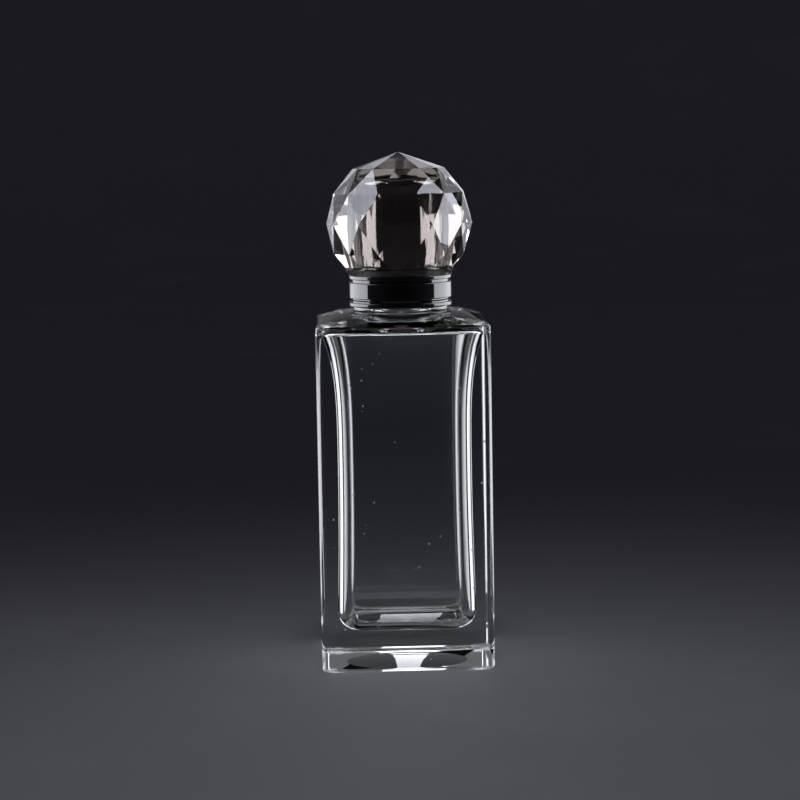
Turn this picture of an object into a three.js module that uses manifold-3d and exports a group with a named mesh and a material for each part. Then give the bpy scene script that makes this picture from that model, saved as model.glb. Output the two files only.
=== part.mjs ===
// Square glass aftershave bottle, closed by a faceted acrylic ball on a screw cap.
// Millimetres, +Z up. The origin is the middle of the footprint, on the surface the bottle stands on.
// From the bottom: heavy-based glass body, neck ring, pour plug, then the cap: liner, threaded
// inner cap, skirt ring, core cup and ball, which turn together and climb the neck's thread.

import * as THREE from 'three';
import { ConvexGeometry } from 'three/addons/geometries/ConvexGeometry.js';
import { mergeVertices } from 'three/addons/utils/BufferGeometryUtils.js';
import Module from 'manifold-3d';

const wasm = await Module();
wasm.setup();

// ---- Driving dimensions ----

const bottle = {
  width: 38, // along X
  depth: 38, // along Y
  height: 76.2, // to the rim of the shoulder
  cornerRadius: 1.5, // upright corners
  baseEdgeRadius: 1.1,
  shoulderEdgeRadius: 0.9,
  shoulderRise: 2.1, // the shoulder's swell, from its rim to the neck root
  restingRim: 5.5, // flat border around the shallow push-up under the base
  dishDepth: 0.6,
};

const cavity = {
  floorThickness: 8.4,
  heelWall: 3.7,
  waistWall: 4.3,
  shoulderWall: 1.5,
  waistHeight: 44, // where the side walls are thickest
  flareSharpness: 4, // how late the walls thin out towards the shoulder
  cornerRadius: 4.8, // upright corners and the edge of the floor
  roofEdgeRadius: 0.8,
  roofThickness: 2.2,
  throatFlare: 2.2, // how much wider than the bore the roof's opening is
};

const neck = {
  radius: 8.1,
  boreRadius: 4.6,
  height: 6.1, // above the land that the neck ring rests on
  ledge: 2.3, // width of the land around the neck
  rootHeight: 0.9,
  rootFillet: 0.8,
  lipRadius: 0.4,
};

const thread = {
  pitch: 2.5, // right-hand, single start
  depth: 0.8,
  rootWidth: 1.1,
  crestWidth: 0.6,
  neckTurns: 1,
  capTurns: 1.2,
  lead: 0.9, // plain length before either thread starts
  runOut: 1 / 12, // share of a turn over which a thread's end fades
};

const collar = {
  wall: 1.45, // of the skirt ring, around the inner cap
  beadHeight: 0.95,
  bandHeight: 3.6,
  grooveHeight: 0.62,
  grooveDepth: 0.66,
  edgeRadius: 0.3,
};

const plug = {
  flangeOverlap: 1.8, // how far the flange reaches over the neck's lip
  flangeThickness: 0.7,
  skirtLength: 6,
  skirtWall: 0.8,
  webThickness: 1,
  orificeRadius: 1.6,
};

const liner = {
  clearance: 1.2, // inside the cap's thread
  thickness: 0.8,
};

const innerCap = {
  wall: 0.8, // behind the thread
  discThickness: 1.1,
};

const core = {
  radius: 7.65,
  wall: 1,
  rimRadius: 1.5,
  flangeThickness: 0.9,
};

const ball = {
  radius: 16.25, // to the corners of the girdle
  sides: 12,
  upperLatitude: 24.6, // degrees, ring of corners above the girdle
  crownLatitude: 50.2, // degrees, ring of corners around the crown
  crownInset: 0.4, // the crown's ring inside the sphere of the others
  apexInset: 0.5, // the apex inside the same sphere
  lowerLatitude: 23.8, // degrees, ring of corners below the girdle
  crownThickness: 7.4, // acrylic between the core and the apex
  footOverhang: 0.2, // the foot's corners beyond the collar
  seatedAngle: -4.5, // degrees, where the facets stop when the cap is tight
};

// ---- Clearances ----

const fit = 0.1; // between pieces pressed or seated together
const running = 0.3; // between the two threads
const parting = 0.2; // open line between the neck ring and the skirt ring

// ---- Fineness ----

const aroundSteps = 40; // facets in a full turn
const cornerSteps = 5; // facets in each corner of an outline
const filletSteps = 3;
const embed = 0.3; // how far a joined piece reaches into the piece it grows from
const sliver = 0.02; // keeps an outline's straight sides from vanishing

// ---- Heights and radii worked out from the sizes above ----

const landHeight = bottle.height + bottle.shoulderRise + neck.rootHeight;
const neckTop = landHeight + neck.height;
const neckRingBottom = landHeight + fit;
const neckRingTop = neckRingBottom + collar.beadHeight + collar.grooveHeight / 2;
const skirtBottom = neckRingTop + parting;
const bandBottom = skirtBottom + collar.grooveHeight / 2;
const bandTop = bandBottom + collar.bandHeight;
const upperBeadBottom = bandTop + collar.grooveHeight;
const skirtTop = upperBeadBottom + collar.beadHeight;
const plugTop = neckTop + fit + plug.flangeThickness;
const linerBottom = plugTop + fit;
const discBottom = linerBottom + liner.thickness + fit;
const discTop = discBottom + innerCap.discThickness;
const coreBottom = discTop + fit;
const footHeight = skirtTop + fit;

const rootRadius = neck.radius + neck.ledge;
const innerCapBore = neck.radius + thread.depth + running;
const innerCapRadius = innerCapBore + innerCap.wall;
const skirtBore = innerCapRadius + fit;
const collarRadius = skirtBore + collar.wall;
const footRadius = collarRadius + ball.footOverhang;
const girdleHeight = footHeight + Math.sqrt(ball.radius ** 2 - footRadius ** 2);
const apexHeight = girdleHeight + ball.radius - ball.apexInset;
const coreTop = apexHeight - ball.crownThickness;

// ---- Solid helpers ----

const quarter = Math.PI / 2;

// A closed body skinned over a row of rings with equal counts of points. Each ring runs
// anticlockwise about the direction that the row takes.
function skin(rings) {
  const count = rings[0].length;
  const last = rings.length - 1;
  const centre = (ring) => ring.reduce((sum, p) => sum.add(p), new THREE.Vector3()).divideScalar(count);
  const points = [...rings.flat(), centre(rings[0]), centre(rings[last])];
  const index = [];
  for (let i = 0; i < count; i += 1) {
    const next = (i + 1) % count;
    for (let row = 0; row < last; row += 1) {
      const here = row * count;
      const above = here + count;
      index.push(here + i, here + next, above + next);
      index.push(here + i, above + next, above + i);
    }
    index.push(points.length - 2, next, i);
    index.push(points.length - 1, last * count + i, last * count + next);
  }
  return new THREE.BufferGeometry().setFromPoints(points).setIndex(index);
}

// A solid of revolution about Z from [radius, height] pairs that start and end on the axis,
// or that close on themselves, listed up the outside first.
function revolve(profile, segments = aroundSteps) {
  const points = profile.map(([radius, height]) => new THREE.Vector2(radius, height));
  return new THREE.LatheGeometry(points, segments).rotateX(quarter);
}

// A ring-shaped body: the outer outline from bottom to top, then a plain bore.
function revolveTube(outer, boreRadius) {
  const bottom = outer[0][1];
  const top = outer[outer.length - 1][1];
  return revolve([[boreRadius, bottom], ...outer, [boreRadius, top], [boreRadius, bottom]]);
}

// Points on a quarter round from one profile point to another, bulging away from the centre.
function quarterRound(centreRadius, centreHeight, radius, startAngle) {
  return Array.from({ length: filletSteps + 1 }, (_, i) => {
    const angle = startAngle + (quarter * i) / filletSteps;
    return [centreRadius + radius * Math.cos(angle), centreHeight + radius * Math.sin(angle)];
  });
}

function toSolid(geometry) {
  const bare = geometry.clone();
  bare.deleteAttribute('normal');
  bare.deleteAttribute('uv');
  const merged = mergeVertices(bare, 1e-4);
  const corners = merged.index.array;
  const kept = [];
  for (let i = 0; i < corners.length; i += 3) {
    const [a, b, c] = corners.slice(i, i + 3);
    if (a !== b && b !== c && c !== a) {
      kept.push(a, b, c);
    }
  }
  return new wasm.Manifold(new wasm.Mesh({
    numProp: 3,
    vertProperties: new Float32Array(merged.attributes.position.array),
    triVerts: new Uint32Array(kept),
  }));
}

function toGeometry(solid) {
  const mesh = solid.getMesh();
  const geometry = new THREE.BufferGeometry();
  geometry.setAttribute('position', new THREE.BufferAttribute(mesh.vertProperties, mesh.numProp));
  geometry.setIndex(new THREE.BufferAttribute(mesh.triVerts, 1));
  geometry.computeVertexNormals();
  return geometry;
}

// ---- Outlines of the bottle ----

// A rectangle with round corners at one height, anticlockwise from above.
function roundedOutline(halfWidth, halfDepth, radius, height) {
  const signs = [[1, 1], [-1, 1], [-1, -1], [1, -1]];
  return signs.flatMap(([sideX, sideY], corner) => (
    Array.from({ length: cornerSteps + 1 }, (_, i) => {
      const angle = quarter * (corner + i / cornerSteps);
      return new THREE.Vector3(
        sideX * (halfWidth - radius) + radius * Math.cos(angle),
        sideY * (halfDepth - radius) + radius * Math.sin(angle),
        height,
      );
    })
  ));
}

// Outlines that pass from a rounded rectangle to a circle while they rise by a swell.
function swellOutlines(edge, circleRadius, steps) {
  const mix = THREE.MathUtils.lerp;
  return Array.from({ length: steps }, (_, i) => {
    const share = (i + 1) / steps;
    return roundedOutline(
      mix(edge.halfWidth, circleRadius + sliver, share),
      mix(edge.halfDepth, circleRadius + sliver, share),
      mix(edge.cornerRadius, circleRadius, share),
      edge.height + edge.rise * Math.sin(quarter * share),
    );
  });
}

function bodyBlock() {
  const halfWidth = bottle.width / 2;
  const halfDepth = bottle.depth / 2;
  const inset = (by, height) => (
    roundedOutline(halfWidth - by, halfDepth - by, bottle.cornerRadius - by, height)
  );
  const baseEdge = quarterRound(0, bottle.baseEdgeRadius, bottle.baseEdgeRadius, -quarter)
    .map(([out, height]) => inset(bottle.baseEdgeRadius - out, height));
  const rim = bottle.height - bottle.shoulderEdgeRadius;
  const shoulderEdge = quarterRound(0, rim, bottle.shoulderEdgeRadius, 0)
    .map(([out, height]) => inset(bottle.shoulderEdgeRadius - out, height));
  const swell = swellOutlines({
    halfWidth: halfWidth - bottle.shoulderEdgeRadius,
    halfDepth: halfDepth - bottle.shoulderEdgeRadius,
    cornerRadius: bottle.cornerRadius - bottle.shoulderEdgeRadius,
    height: bottle.height,
    rise: bottle.shoulderRise,
  }, rootRadius + neck.rootFillet, 6);
  return toSolid(skin([...baseEdge, ...shoulderEdge, ...swell]));
}

// The space for the liquid: thick walls at the waist that thin out to the shoulder.
function cavityBlock() {
  const floorRound = cavity.cornerRadius - embed;
  const wallsBottom = cavity.floorThickness + floorRound;
  const wallsTop = bottle.height - cavity.shoulderWall - cavity.roofEdgeRadius;
  const outline = (wall, by, height) => roundedOutline(
    bottle.width / 2 - wall - by,
    bottle.depth / 2 - wall - by,
    cavity.cornerRadius - by,
    height,
  );
  const wallAt = (height) => {
    const below = (height - wallsBottom) / (cavity.waistHeight - wallsBottom);
    const above = (height - cavity.waistHeight) / (wallsTop - cavity.waistHeight);
    if (height < cavity.waistHeight) {
      return THREE.MathUtils.lerp(cavity.heelWall, cavity.waistWall, Math.sin(quarter * below));
    }
    return THREE.MathUtils.lerp(
      cavity.waistWall,
      cavity.shoulderWall,
      above ** cavity.flareSharpness,
    );
  };
  const floorEdge = quarterRound(0, wallsBottom, floorRound, -quarter)
    .map(([out, height]) => outline(cavity.heelWall, floorRound - out, height));
  const wallSteps = 10;
  const walls = Array.from({ length: wallSteps - 1 }, (_, i) => {
    const height = THREE.MathUtils.lerp(wallsBottom, wallsTop, (i + 1) / wallSteps);
    return outline(wallAt(height), 0, height);
  });
  const roofEdge = quarterRound(0, wallsTop, cavity.roofEdgeRadius, 0)
    .map(([out, height]) => outline(cavity.shoulderWall, cavity.roofEdgeRadius - out, height));
  const roofRim = wallsTop + cavity.roofEdgeRadius;
  const roofTop = bottle.height + bottle.shoulderRise - cavity.roofThickness;
  const roof = swellOutlines({
    halfWidth: bottle.width / 2 - cavity.shoulderWall - cavity.roofEdgeRadius,
    halfDepth: bottle.depth / 2 - cavity.shoulderWall - cavity.roofEdgeRadius,
    cornerRadius: cavity.cornerRadius - cavity.roofEdgeRadius,
    height: roofRim,
    rise: roofTop - roofRim,
  }, neck.boreRadius + cavity.throatFlare, 5);
  return toSolid(skin([...floorEdge, ...walls, ...roofEdge, ...roof]));
}

// ---- Threads ----

// A right-hand ridge whose ends fade out. The root is buried in the wall it grows from.
function threadRidge({ wallRadius, crestRadius, startHeight, startAngle, turns }) {
  const outward = Math.sign(crestRadius - wallRadius);
  const steps = Math.round(turns * aroundSteps);
  const rings = Array.from({ length: steps + 1 }, (_, i) => {
    const turn = (turns * i) / steps;
    const angle = startAngle + 2 * Math.PI * turn;
    const height = startHeight + thread.pitch * turn;
    const fade = Math.min(1, (Math.min(turn, turns - turn) + sliver) / thread.runOut);
    const crest = THREE.MathUtils.lerp(wallRadius, crestRadius, fade);
    const buried = wallRadius - outward * embed;
    const profile = [
      [buried, thread.rootWidth / 2],
      [crest, thread.crestWidth / 2],
      [crest, -thread.crestWidth / 2],
      [buried, -thread.rootWidth / 2],
    ];
    if (outward < 0) {
      profile.reverse();
    }
    return profile.map(([radius, rise]) => (
      new THREE.Vector3(radius * Math.cos(angle), radius * Math.sin(angle), height + rise)
    ));
  });
  return toSolid(skin(rings));
}

const neckThreadStart = neckTop - thread.lead - thread.pitch * thread.neckTurns;
const capThreadStart = skirtBottom + thread.lead;
// The cap's ridge lies half a pitch from the neck's, all the way along the same helix.
const capThreadAngle = 2 * Math.PI * ((capThreadStart - neckThreadStart) / thread.pitch + 1 / 2);

// ---- The pieces ----

function glassBottle() {
  const fillet = quarterRound(
    rootRadius + neck.rootFillet,
    bottle.height + bottle.shoulderRise + neck.rootFillet,
    neck.rootFillet,
    2 * quarter,
  ).reverse();
  const finish = toSolid(revolve([
    [0, bottle.height],
    [rootRadius, bottle.height],
    [fillet[0][0], bottle.height + bottle.shoulderRise - embed],
    ...fillet,
    [rootRadius, landHeight],
    [neck.radius, landHeight],
    ...quarterRound(neck.radius - neck.lipRadius, neckTop - neck.lipRadius, neck.lipRadius, 0),
    [0, neckTop],
  ]));
  const ridge = threadRidge({
    wallRadius: neck.radius,
    crestRadius: neck.radius + thread.depth,
    startHeight: neckThreadStart,
    startAngle: 0,
    turns: thread.neckTurns,
  });
  const bore = toSolid(revolve([
    [0, bottle.height - cavity.roofThickness],
    [neck.boreRadius, bottle.height - cavity.roofThickness],
    [neck.boreRadius, neckTop + embed],
    [0, neckTop + embed],
  ]));
  const dishRadius = Math.min(bottle.width, bottle.depth) / 2 - bottle.restingRim;
  const dish = toSolid(revolve([
    [0, -embed],
    [dishRadius, -embed],
    ...Array.from({ length: filletSteps + 1 }, (_, i) => {
      const share = 1 - i / filletSteps;
      return [dishRadius * share, bottle.dishDepth * (1 - share ** 2)];
    }),
  ]));
  return bodyBlock().add(finish).add(ridge).subtract(cavityBlock()).subtract(bore)
    .subtract(dish);
}

// A raised band of the collar with rounded edges, as profile points from its bottom to its top.
function bandProfile(bottom, top) {
  const round = collar.edgeRadius;
  return [
    ...quarterRound(collarRadius - round, bottom + round, round, -quarter),
    ...quarterRound(collarRadius - round, top - round, round, 0),
  ];
}

const grooveRadius = collarRadius - collar.grooveDepth;

function neckRing() {
  return toSolid(revolveTube([
    ...bandProfile(neckRingBottom, neckRingBottom + collar.beadHeight),
    [grooveRadius, neckRingBottom + collar.beadHeight],
    [grooveRadius, neckRingTop],
  ], neck.radius + fit));
}

function skirtRing() {
  return toSolid(revolveTube([
    [grooveRadius, skirtBottom],
    [grooveRadius, bandBottom],
    ...bandProfile(bandBottom, bandTop),
    [grooveRadius, bandTop],
    [grooveRadius, upperBeadBottom],
    ...bandProfile(upperBeadBottom, skirtTop),
  ], skirtBore));
}

function pourPlug() {
  const skirtRadius = neck.boreRadius - fit;
  const hollowRadius = skirtRadius - plug.skirtWall;
  const flangeRadius = neck.boreRadius + plug.flangeOverlap;
  const seat = neckTop + fit;
  const skirtEnd = neckTop - plug.skirtLength;
  const webBottom = plugTop - plug.webThickness;
  return toSolid(revolve([
    [hollowRadius, skirtEnd],
    [skirtRadius, skirtEnd],
    [skirtRadius, seat],
    [flangeRadius, seat],
    [flangeRadius, plugTop],
    [plug.orificeRadius, plugTop],
    [plug.orificeRadius, webBottom],
    [hollowRadius, webBottom],
    [hollowRadius, skirtEnd],
  ]));
}

function capLiner() {
  const top = linerBottom + liner.thickness;
  const radius = neck.radius + running - liner.clearance;
  return toSolid(revolve([
    [0, linerBottom],
    [radius, linerBottom],
    [radius, top],
    [0, top],
  ]));
}

function threadedInnerCap() {
  const shell = toSolid(revolve([
    [innerCapBore, skirtBottom],
    [innerCapRadius, skirtBottom],
    [innerCapRadius, discTop],
    [0, discTop],
    [0, discBottom],
    [innerCapBore, discBottom],
    [innerCapBore, skirtBottom],
  ]));
  const ridge = threadRidge({
    wallRadius: innerCapBore,
    crestRadius: neck.radius + running,
    startHeight: capThreadStart,
    startAngle: capThreadAngle,
    turns: thread.capTurns,
  });
  return shell.add(ridge);
}

// The glossy cup that shows through the ball: a round-shouldered wall on a wide flange.
function coreCup() {
  const inside = core.radius - core.wall;
  const insideRim = core.rimRadius - core.wall;
  const flangeTop = coreBottom + core.flangeThickness;
  return toSolid(revolve([
    [inside, coreBottom],
    [innerCapRadius, coreBottom],
    [innerCapRadius, flangeTop],
    [core.radius, flangeTop],
    ...quarterRound(core.radius - core.rimRadius, coreTop - core.rimRadius, core.rimRadius, 0),
    [0, coreTop],
    [0, coreTop - core.wall],
    ...quarterRound(inside - insideRim, coreTop - core.rimRadius, insideRim, 0).reverse(),
    [inside, coreBottom],
  ]));
}

// Rings of corners on the ball, every second ring turned by half a facet, and one corner on top.
function facetedBall() {
  const radians = THREE.MathUtils.degToRad;
  const ringAt = (radius, height, shift) => (
    Array.from({ length: ball.sides }, (_, i) => {
      const angle = radians(ball.seatedAngle) + (2 * Math.PI * (i + shift)) / ball.sides;
      return new THREE.Vector3(radius * Math.cos(angle), radius * Math.sin(angle), height);
    })
  );
  const onSphere = (radius, degrees, shift) => ringAt(
    radius * Math.cos(radians(degrees)),
    girdleHeight + radius * Math.sin(radians(degrees)),
    shift,
  );
  const corners = [
    ...ringAt(footRadius, footHeight, 0),
    ...onSphere(ball.radius, -ball.lowerLatitude, 1 / 2),
    ...onSphere(ball.radius, 0, 0),
    ...onSphere(ball.radius, ball.upperLatitude, 1 / 2),
    ...onSphere(ball.radius - ball.crownInset, ball.crownLatitude, 0),
    new THREE.Vector3(0, 0, apexHeight),
  ];
  const socketRim = core.rimRadius + fit;
  const socketRadius = core.radius + fit;
  const counterboreTop = coreBottom + core.flangeThickness + fit;
  const socket = toSolid(revolve([
    [0, footHeight - embed],
    [innerCapRadius + fit, footHeight - embed],
    [innerCapRadius + fit, counterboreTop],
    [socketRadius, counterboreTop],
    ...quarterRound(socketRadius - socketRim, coreTop + fit - socketRim, socketRim, 0),
    [0, coreTop + fit],
  ]));
  return toSolid(new ConvexGeometry(corners)).subtract(socket);
}

// ---- Assembly ----

const glossBlack = { color: 0x0a0a0b, roughness: 0.12, metalness: 0 };

const pieces = [
  ['glass_bottle', glassBottle, { color: 0xe8eeee, roughness: 0.03, metalness: 0 }],
  ['neck_ring', neckRing, glossBlack],
  ['pour_plug', pourPlug, { color: 0xe9e7e0, roughness: 0.45, metalness: 0 }],
  ['cap_liner', capLiner, { color: 0xf0efea, roughness: 0.8, metalness: 0 }],
  ['inner_cap', threadedInnerCap, { color: 0x17171a, roughness: 0.4, metalness: 0 }],
  ['skirt_ring', skirtRing, glossBlack],
  ['core_cup', coreCup, glossBlack],
  ['ball_cap', facetedBall, { color: 0xf3ece4, roughness: 0.02, metalness: 0 }],
];

const group = new THREE.Group();
for (const [name, build, finish] of pieces) {
  const mesh = new THREE.Mesh(toGeometry(build()), new THREE.MeshStandardMaterial(finish));
  mesh.name = name;
  group.add(mesh);
}

export default group;
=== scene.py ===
import math

import bmesh
import bpy
from mathutils import Matrix, Vector


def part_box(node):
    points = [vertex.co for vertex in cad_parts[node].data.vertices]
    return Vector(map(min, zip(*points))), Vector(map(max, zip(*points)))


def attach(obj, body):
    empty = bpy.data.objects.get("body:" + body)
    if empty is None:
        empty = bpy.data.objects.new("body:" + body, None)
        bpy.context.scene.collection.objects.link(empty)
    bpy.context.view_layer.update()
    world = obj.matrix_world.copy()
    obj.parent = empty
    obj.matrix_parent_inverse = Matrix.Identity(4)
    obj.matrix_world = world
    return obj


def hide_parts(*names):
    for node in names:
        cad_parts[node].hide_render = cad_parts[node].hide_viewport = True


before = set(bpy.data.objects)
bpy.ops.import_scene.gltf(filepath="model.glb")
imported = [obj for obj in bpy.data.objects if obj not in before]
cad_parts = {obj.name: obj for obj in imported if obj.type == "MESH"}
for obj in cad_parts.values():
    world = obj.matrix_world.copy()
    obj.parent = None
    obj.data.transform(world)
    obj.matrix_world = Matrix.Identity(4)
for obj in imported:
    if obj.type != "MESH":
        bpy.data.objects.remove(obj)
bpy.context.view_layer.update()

mm = 0.001

# ---------------------------------------------------------------------------------------------
# Glass body. Clear flint glass, blown in a square mould: flat polished faces, a heavy base with
# a shallow push-up, and walls that are thickest at the waist. One skin runs from the push-up,
# up the outside, over the lip and down to the cavity's floor.
# ---------------------------------------------------------------------------------------------
glass_low, glass_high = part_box("glass_bottle")
glass_half = (glass_high.x - glass_low.x) / 2
neck_top = glass_high.z
ring_low, ring_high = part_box("neck_ring")
seat_gap = 0.1 * mm
land_height = ring_low.z - seat_gap

corner_radius = 1.5 * mm
base_edge = 1.1 * mm
shoulder_edge = 0.9 * mm
shoulder_swell = 2.1 * mm
root_height = 0.9 * mm
shoulder_rim = land_height - root_height - shoulder_swell
corner_segments = 12
side_segments = 12
loop_points = 4 * (corner_segments + side_segments)
dish_rim = 5.5 * mm
dish_radius = glass_half - dish_rim
dish_depth = 0.6 * mm
dish_steps = 8

neck_radius = 8.1 * mm
bore_radius = 4.6 * mm
lip_round = 0.4 * mm
land_width = 2.3 * mm
land_round = 0.2 * mm
root_radius = neck_radius + land_width
root_fillet = 0.8 * mm

floor_height = 8.4 * mm
floor_round = 4.5 * mm
heel_wall = 3.7 * mm
waist_wall = 4.3 * mm
waist_height = 44 * mm
shoulder_wall = 1.5 * mm
roof_round = 0.8 * mm
roof_corner = 4.2 * mm
roof_thickness = 2.2 * mm
roof_top = shoulder_rim + shoulder_swell - roof_thickness
throat_flare = 2.2 * mm
throat_radius = bore_radius + throat_flare
throat_round = 1.2 * mm
throat_start = roof_top + throat_round
walls_bottom = floor_height + floor_round
walls_top = shoulder_rim - shoulder_wall - roof_round
wall_steps = 24


def deselect():
    if bpy.context.object and bpy.context.object.mode == "EDIT":
        bpy.ops.object.mode_set(mode="OBJECT")
    bpy.ops.object.select_all(action="DESELECT")


def start_piece(name):
    """A new, empty mesh at the origin, left in edit mode."""
    deselect()
    bpy.ops.mesh.primitive_plane_add(size=mm)
    bpy.context.object.name = name
    bpy.ops.object.mode_set(mode="EDIT")
    bpy.ops.mesh.delete(type="VERT")
    return bpy.context.object


def select_where(test):
    """In edit mode, selects the points whose place passes the test, and nothing else."""
    bpy.ops.mesh.select_mode(type="VERT")
    bpy.ops.mesh.select_all(action="DESELECT")
    shape = bmesh.from_edit_mesh(bpy.context.object.data)
    for vertex in shape.verts:
        vertex.select = test(vertex.co)
    shape.select_flush_mode()
    bmesh.update_edit_mesh(bpy.context.object.data)


same_place = 5e-6
weld_distance = 1e-6


def near(a, b, reach=same_place):
    return abs(a - b) < reach


def on_circle(radius, height):
    return lambda co: near(co.z, height) and near(co.xy.length, radius)


def on_square(half, height):
    """Points of a square loop at that height, no wider than the given half width."""
    return lambda co: near(co.z, height) and max(abs(co.x), abs(co.y)) < half + same_place


def add_rounded_square(half, radius, height):
    """In edit mode, adds an open square loop with round corners and evenly cut sides."""
    bpy.ops.mesh.select_all(action="DESELECT")
    bpy.ops.mesh.select_mode(type="VERT")
    bpy.ops.mesh.primitive_plane_add(size=2 * half, location=(0, 0, height))
    bpy.ops.mesh.bevel(
        offset=radius, segments=corner_segments, affect="VERTICES", clamp_overlap=False
    )
    bpy.ops.mesh.delete(type="ONLY_FACE")
    bpy.ops.mesh.select_mode(type="EDGE")
    shape = bmesh.from_edit_mesh(bpy.context.object.data)
    for edge in shape.edges:
        side = near(edge.calc_length(), 2 * (half - radius), 2 * same_place)
        edge.select = side and on_square(half, height)(edge.verts[0].co)
    bmesh.update_edit_mesh(bpy.context.object.data)
    bpy.ops.mesh.subdivide(number_cuts=side_segments - 1)


def add_circle(radius, height):
    bpy.ops.mesh.select_all(action="DESELECT")
    bpy.ops.mesh.primitive_circle_add(
        vertices=loop_points, radius=radius, location=(0, 0, height)
    )


def draw_on(sizes):
    """Extrudes the selected flat loop through (size, height) pairs, scaled about the axis."""
    for before, after in zip(sizes, sizes[1:]):
        scale = after[0] / before[0]
        bpy.ops.mesh.extrude_region_move(
            TRANSFORM_OT_translate={"value": (0, 0, after[1] - before[1])}
        )
        bpy.ops.transform.resize(
            value=(scale, scale, 1), center_override=(0, 0, after[1])
        )


def arc(centre_out, centre_up, radius, start, end, steps):
    """(out, up) pairs along an arc; its angles are in quarter turns from straight out."""
    angles = [math.pi / 2 * (start + (end - start) * i / steps) for i in range(steps + 1)]
    return [
        (centre_out + radius * math.cos(a), centre_up + radius * math.sin(a))
        for a in angles
    ]


def swell(low, rise, half):
    """Turns a bridge's straight climb above a rim into a soft dome."""
    shape = bmesh.from_edit_mesh(bpy.context.object.data)
    for vertex in shape.verts:
        share = (vertex.co.z - low) / rise
        if 1e-4 < share < 1 and max(abs(vertex.co.x), abs(vertex.co.y)) < half:
            vertex.co.z = low + rise * math.sin(math.pi / 2 * share)
    bmesh.update_edit_mesh(bpy.context.object.data)


def cavity_half(height):
    """Half the cavity's width at a height: the blown wall is thickest at the waist."""
    if height < waist_height:
        share = (height - walls_bottom) / (waist_height - walls_bottom)
        wall = heel_wall + (waist_wall - heel_wall) * math.sin(math.pi / 2 * share)
    else:
        share = (height - waist_height) / (walls_top - waist_height)
        wall = waist_wall + (shoulder_wall - waist_wall) * share**4
    return glass_half - wall


sharp_angle = 35


def finish_shape(piece, angle=sharp_angle):
    """Closes seams, turns faces outwards, places the piece and smooths all but its edges."""
    if piece.mode == "EDIT":
        bpy.ops.mesh.select_all(action="SELECT")
        bpy.ops.mesh.remove_doubles(threshold=weld_distance)
        bpy.ops.mesh.normals_make_consistent(inside=False)
        bpy.ops.object.mode_set(mode="OBJECT")
    deselect()
    piece.select_set(True)
    bpy.context.view_layer.objects.active = piece
    bpy.ops.object.transform_apply(location=True, rotation=True, scale=True)
    bpy.ops.object.shade_smooth_by_angle(angle=math.radians(angle))
    even = piece.modifiers.new("even_normals", "WEIGHTED_NORMAL")
    even.keep_sharp = True
    bpy.ops.object.modifier_apply(modifier=even.name)


glass = start_piece("glass_body")
foot_half = glass_half - base_edge
add_rounded_square(foot_half, corner_radius, 0)
select_where(on_square(foot_half, 0))
side_top = shoulder_rim - shoulder_edge
edge_steps = 6
draw_on(
    arc(foot_half, base_edge, base_edge, -1, 0, edge_steps)
    + arc(glass_half - shoulder_edge, side_top, shoulder_edge, 0, 1, edge_steps)
)

# The domed shoulder, the neck root with its fillet, the land, the plain neck and the lip.
dome_top = shoulder_rim + shoulder_swell
dome_radius = root_radius + root_fillet
dome_steps = 12
add_circle(dome_radius, dome_top)
select_where(lambda co: near(co.z, shoulder_rim) or on_circle(dome_radius, dome_top)(co))
bpy.ops.mesh.bridge_edge_loops(number_cuts=dome_steps, interpolation="LINEAR")
swell(shoulder_rim, shoulder_swell, glass_half)
select_where(on_circle(dome_radius, dome_top))
land_steps = 3
lip_steps = 5
lip_start = neck_top - lip_round
land_edge = root_radius - land_round
land_foot = neck_radius + land_round
draw_on(
    arc(dome_radius, dome_top + root_fillet, root_fillet, -1, -2, edge_steps)
    + arc(land_edge, land_height - land_round, land_round, 0, 1, land_steps)[1:]
    + arc(land_foot, land_height + land_round, land_round, -1, -2, land_steps)
    + arc(neck_radius - lip_round, lip_start, lip_round, 0, 1, lip_steps)
    + arc(bore_radius + lip_round, lip_start, lip_round, 1, 2, lip_steps)
    + arc(bore_radius + throat_round, throat_start, throat_round, -2, -1, edge_steps)
    + [(throat_radius, roof_top)]
)

# The cavity: its roof follows the shoulder, its walls swell inwards to the waist.
roof_rim = walls_top + roof_round
roof_half = glass_half - shoulder_wall - roof_round
roof_steps = 10
add_rounded_square(roof_half, roof_corner, roof_rim)
in_rim = on_square(roof_half, roof_rim)
in_throat = on_circle(throat_radius, roof_top)
select_where(lambda co: in_rim(co) or in_throat(co))
bpy.ops.mesh.bridge_edge_loops(number_cuts=roof_steps, interpolation="LINEAR")
swell(roof_rim, roof_top - roof_rim, roof_half + 0.1 * mm)
select_where(in_rim)
wall_drop = walls_bottom - walls_top
heights = [walls_top + wall_drop * i / wall_steps for i in range(wall_steps + 1)]
heel_half = glass_half - heel_wall
heel_steps = 10
draw_on(
    arc(roof_half, walls_top, roof_round, 1, 0, edge_steps)
    + [(cavity_half(height), height) for height in heights[1:]]
    + arc(heel_half - floor_round, walls_bottom, floor_round, 0, -1, heel_steps)[1:]
)
bpy.ops.mesh.edge_face_add()

# The underside: a flat resting rim around the shallow push-up.
add_circle(dish_radius, 0)
select_where(lambda co: near(co.z, 0))
bpy.ops.mesh.bridge_edge_loops(number_cuts=0)
select_where(on_circle(dish_radius, 0))
shares = [1 - i / (dish_steps + 1) for i in range(dish_steps + 1)]
draw_on([(dish_radius * s, dish_depth * (1 - s**2)) for s in shares])
bpy.ops.mesh.edge_face_add()
bpy.ops.mesh.select_all(action="SELECT")
bpy.ops.mesh.remove_doubles(threshold=weld_distance / 10)
bpy.ops.mesh.normals_make_consistent(inside=False)
bpy.ops.object.mode_set(mode="OBJECT")


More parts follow.
